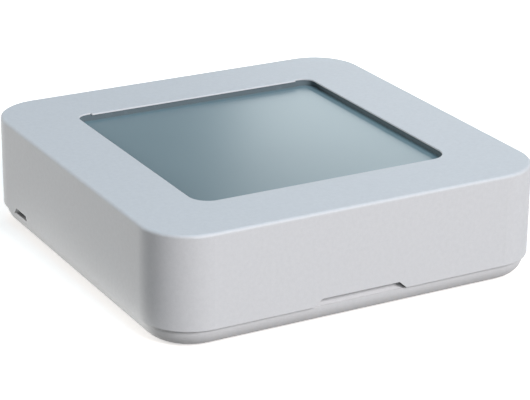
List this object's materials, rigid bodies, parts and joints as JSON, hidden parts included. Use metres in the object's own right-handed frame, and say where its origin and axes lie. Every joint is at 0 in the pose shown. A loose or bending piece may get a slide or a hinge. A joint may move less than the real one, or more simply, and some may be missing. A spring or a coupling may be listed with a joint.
{
  "type": "air quality monitor",
  "caption": "Pocket square air quality monitor: matte white case, sunken blank segment display, side air inlet, pry notch and a clip-on rear cover over a coin cell.",
  "frame": {"origin": "centre of the flat back face that the monitor lies on", "axes": "+Z out of the display, +X to the reader's right, -Y towards the side with the pry notch"},
  "size_m": [0.055, 0.055, 0.015],
  "materials": {
    "white_case": "fine matte moulded",
    "black_rubber": "matte silicone rubber",
    "polariser_film": "satin anti-glare film",
    "display_glass": "polished",
    "reflector_film": "brushed reflective film",
    "zebra_rubber": "fine striped silicone rubber",
    "frame_plastic": "matte moulded",
    "solder_mask": "glossy solder mask",
    "screw_steel": "bright zinc plated",
    "black_plastic": "matte moulded",
    "spring_steel": "nickel plated",
    "cell_steel": "brushed",
    "cell_seal": "moulded",
    "grey_foam": "open-cell foam",
    "mesh_steel": "dark etched sheet",
    "sensor_metal": "satin lid",
    "chip_epoxy": "satin moulded epoxy",
    "crystal_can": "satin",
    "antenna_ceramic": "unglazed",
    "capacitor_ceramic": "fired ceramic",
    "resistor_ceramic": "glazed",
    "button_plastic": "satin moulded"
  },
  "bodies": {
    "housing": {"front_housing": "white_case", "display_gasket": "black_rubber", "front_polariser": "polariser_film", "lcd_front_glass": "display_glass", "lcd_rear_glass": "display_glass", "lcd_reflector": "reflector_film", "zebra_strip": "zebra_rubber", "display_frame": "frame_plastic", "circuit_board": "solder_mask", "board_screws": "screw_steel", "cell_holder": "black_plastic", "positive_contact": "spring_steel", "negative_contact": "spring_steel", "sensor_duct": "black_rubber", "inlet_mesh": "mesh_steel", "gas_sensor": "sensor_metal", "humidity_sensor": "chip_epoxy", "microcontroller": "chip_epoxy", "crystal": "crystal_can", "chip_antenna": "antenna_ceramic", "lcd_driver": "chip_epoxy", "chip_capacitors": "capacitor_ceramic", "chip_resistors": "resistor_ceramic", "set_switch": "black_plastic"},
    "rear_cover": {"rear_cover": "white_case", "cell_pad": "grey_foam"},
    "coin_cell": {"coin_cell_can": "cell_steel", "coin_cell_cap": "cell_steel", "coin_cell_seal": "cell_seal"},
    "set_button": {"set_button": "button_plastic"}
  },
  "joints": [
    {"name": "cover_lift", "type": "slide", "parent": "housing", "child": "rear_cover", "axis": [0, 0, -1], "range_m": [0, 0.024]},
    {"name": "cell_lift", "type": "slide", "parent": "housing", "child": "coin_cell", "axis": [0, 0, -1], "range_m": [0, 0.012]},
    {"name": "button_press", "type": "slide", "parent": "housing", "child": "set_button", "axis": [0, 0, 1], "range_m": [0, 0.00025], "stiffness_N_per_m": 1500}
  ],
  "couplings": [
    {"joint": "cell_lift", "follows": "cover_lift", "ratio": 0.5}
  ]
}
